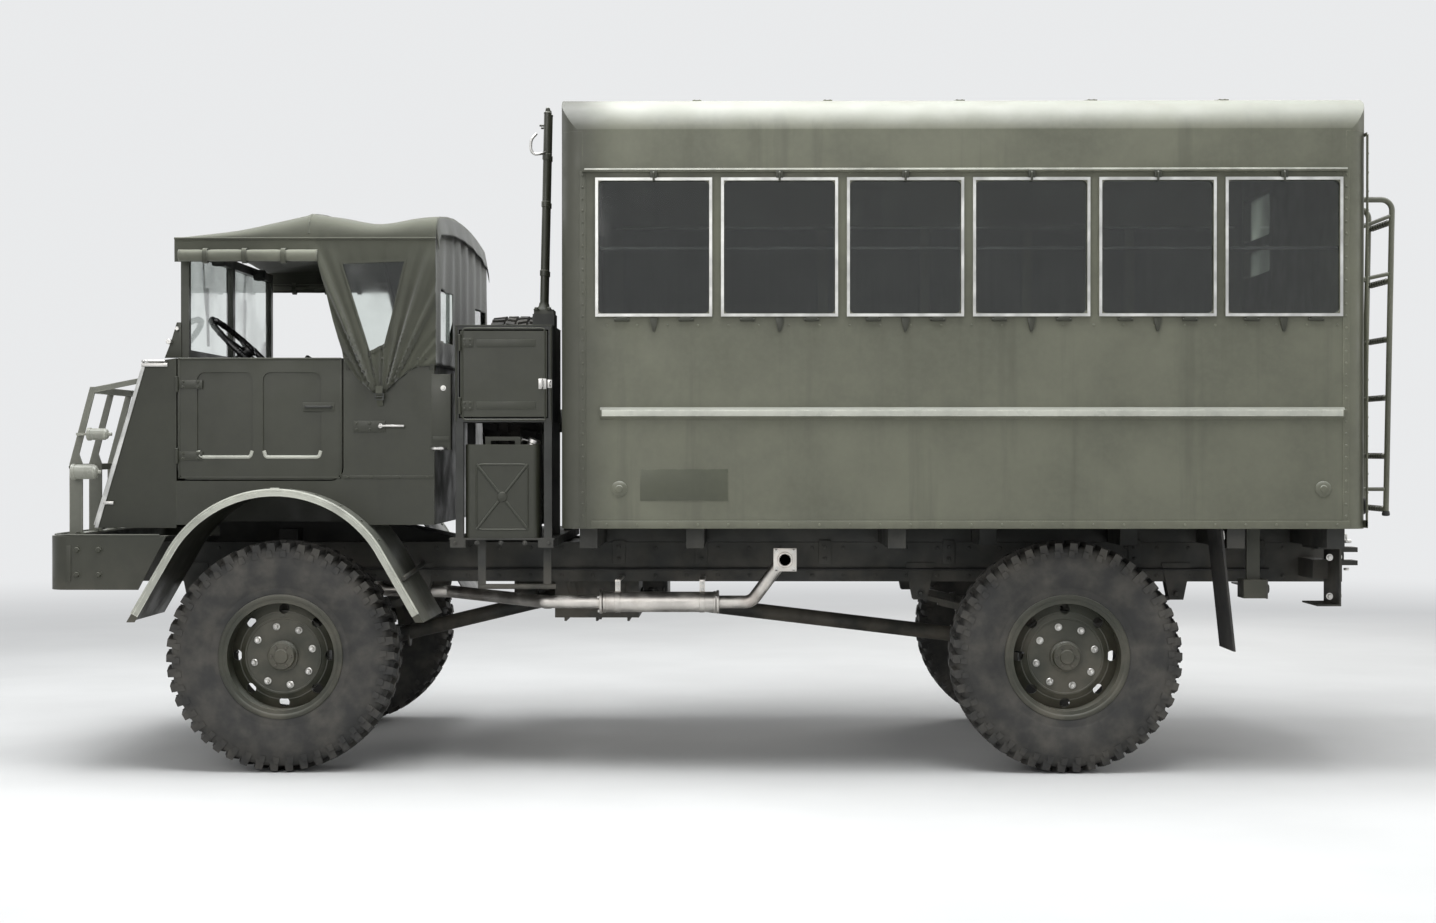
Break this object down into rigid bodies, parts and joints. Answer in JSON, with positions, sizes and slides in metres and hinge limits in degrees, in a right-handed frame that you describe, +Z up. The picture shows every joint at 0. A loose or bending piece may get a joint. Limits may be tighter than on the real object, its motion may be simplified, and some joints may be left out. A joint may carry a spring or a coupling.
{
  "type": "military box-body truck",
  "caption": "Four-wheel-drive military truck with an open canvas-hooded cab and a closed, windowed box body; wheels, steering, doors and bonnet move.",
  "frame": {"origin": "on the ground, in the middle of the truck's outline", "axes": "+X forward, +Y to the truck's left, +Z up"},
  "size_m": [6.271, 2.43, 3.1396],
  "materials": {
    "body_paint": "matt olive paint, slightly worn at the edges",
    "box_paint": "matt olive paint bleached by sun, rain-streaked",
    "chassis_paint": "dark matt paint with road dust",
    "exhaust_steel": "heat-dulled steel",
    "tyre_rubber": "worn black tyre rubber",
    "flap_rubber": "dusty black rubber sheet",
    "hood_canvas": "heavy cotton canvas, matt",
    "seat_cloth": "coated olive cloth",
    "glass": "clear window glass",
    "lamp_metal": "satin lamp housings",
    "wheel_plastic": "black steering wheel rim"
  },
  "bodies": {
    "chassis": {"frame_rails": "chassis_paint", "frame_crossmembers": "chassis_paint", "front_bumper": "body_paint", "brush_guard": "body_paint", "nose_shell": "body_paint", "grille": "body_paint", "radiator": "chassis_paint", "engine": "chassis_paint", "driveline": "chassis_paint", "exhaust": "exhaust_steel", "fuel_tank": "chassis_paint", "front_axle": "chassis_paint", "rear_axle": "chassis_paint", "leaf_springs": "chassis_paint", "cab_tub": "body_paint", "seat_cushions": "seat_cloth", "steering_column": "chassis_paint", "windscreen_frame": "body_paint", "windscreen_glass": "glass", "front_mudguards": "body_paint", "front_lamps": "lamp_metal", "canvas_hood": "hood_canvas", "hood_bows": "chassis_paint", "stowage_rack": "body_paint", "spare_tyre": "tyre_rubber", "spare_rim": "body_paint", "fuel_can": "body_paint", "mast_poles": "body_paint", "box_floor": "box_paint", "box_left_side": "box_paint", "box_right_side": "box_paint", "box_front_wall": "box_paint", "box_rear_wall": "box_paint", "box_roof": "box_paint", "window_glass": "glass", "rear_ladder": "box_paint", "tow_hitch": "chassis_paint", "rear_lamps": "lamp_metal", "mudflaps": "flap_rubber", "rear_bumpers": "chassis_paint"},
    "left_knuckle": {"left_knuckle": "chassis_paint"},
    "right_knuckle": {"right_knuckle": "chassis_paint"},
    "tie_rod": {"tie_rod": "chassis_paint"},
    "steering_wheel": {"steering_wheel": "wheel_plastic"},
    "left_door": {"left_door": "body_paint"},
    "right_door": {"right_door": "body_paint"},
    "bonnet": {"bonnet": "body_paint"},
    "rear_door": {"rear_door": "box_paint"},
    "locker_door": {"locker_door": "body_paint"},
    "front_left_wheel": {"front_left_tyre": "tyre_rubber", "front_left_rim": "body_paint"},
    "front_right_wheel": {"front_right_tyre": "tyre_rubber", "front_right_rim": "body_paint"},
    "rear_left_wheel": {"rear_left_tyre": "tyre_rubber", "rear_left_rim": "body_paint"},
    "rear_right_wheel": {"rear_right_tyre": "tyre_rubber", "rear_right_rim": "body_paint"}
  },
  "joints": [
    {"name": "left_steer", "type": "hinge", "parent": "chassis", "child": "left_knuckle", "pos_m": [2.0675, 0.77, 0.53], "axis": [0, 0, 1], "range_deg": [-28, 28]},
    {"name": "right_steer", "type": "hinge", "parent": "chassis", "child": "right_knuckle", "pos_m": [2.0675, -0.77, 0.53], "axis": [0, 0, 1], "range_deg": [-28, 28]},
    {"name": "tie_rod_pivot", "type": "hinge", "parent": "left_knuckle", "child": "tie_rod", "pos_m": [1.8075, 0.77, 0.45], "axis": [0, 0, 1], "range_deg": [-28, 28]},
    {"name": "steering_wheel_turn", "type": "hinge", "parent": "chassis", "child": "steering_wheel", "pos_m": [2.3385, 0.53, 1.951], "axis": [-0.6868, 0, 0.7268], "range_deg": [-560, 560]},
    {"name": "left_door_hinge", "type": "hinge", "parent": "chassis", "child": "left_door", "pos_m": [2.5585, 1.008, 1.62], "axis": [0, 0, -1], "range_deg": [0, 80]},
    {"name": "right_door_hinge", "type": "hinge", "parent": "chassis", "child": "right_door", "pos_m": [2.5585, -1.008, 1.62], "axis": [0, 0, 1], "range_deg": [0, 80]},
    {"name": "bonnet_hinge", "type": "hinge", "parent": "chassis", "child": "bonnet", "pos_m": [2.5755, 0, 1.905], "axis": [0, -1, 0], "range_deg": [0, 55]},
    {"name": "rear_door_hinge", "type": "hinge", "parent": "chassis", "child": "rear_door", "pos_m": [-2.8735, -0.427, 2.04], "axis": [0, 0, 1], "range_deg": [0, 105]},
    {"name": "locker_door_hinge", "type": "hinge", "parent": "chassis", "child": "locker_door", "pos_m": [1.2485, 1.048, 1.827], "axis": [0, 0, -1], "range_deg": [0, 95]},
    {"name": "front_left_spin", "type": "hinge", "parent": "left_knuckle", "child": "front_left_wheel", "pos_m": [2.0675, 0.95, 0.53], "axis": [0, 1, 0], "continuous": true},
    {"name": "front_right_spin", "type": "hinge", "parent": "right_knuckle", "child": "front_right_wheel", "pos_m": [2.0675, -0.95, 0.53], "axis": [0, 1, 0], "continuous": true},
    {"name": "rear_left_spin", "type": "hinge", "parent": "chassis", "child": "rear_left_wheel", "pos_m": [-1.5325, 0.95, 0.53], "axis": [0, 1, 0], "continuous": true},
    {"name": "rear_right_spin", "type": "hinge", "parent": "chassis", "child": "rear_right_wheel", "pos_m": [-1.5325, -0.95, 0.53], "axis": [0, 1, 0], "continuous": true}
  ],
  "couplings": [
    {"joint": "right_steer", "follows": "left_steer", "ratio": 1},
    {"joint": "tie_rod_pivot", "follows": "left_steer", "ratio": -1},
    {"joint": "steering_wheel_turn", "follows": "left_steer", "ratio": 20}
  ]
}
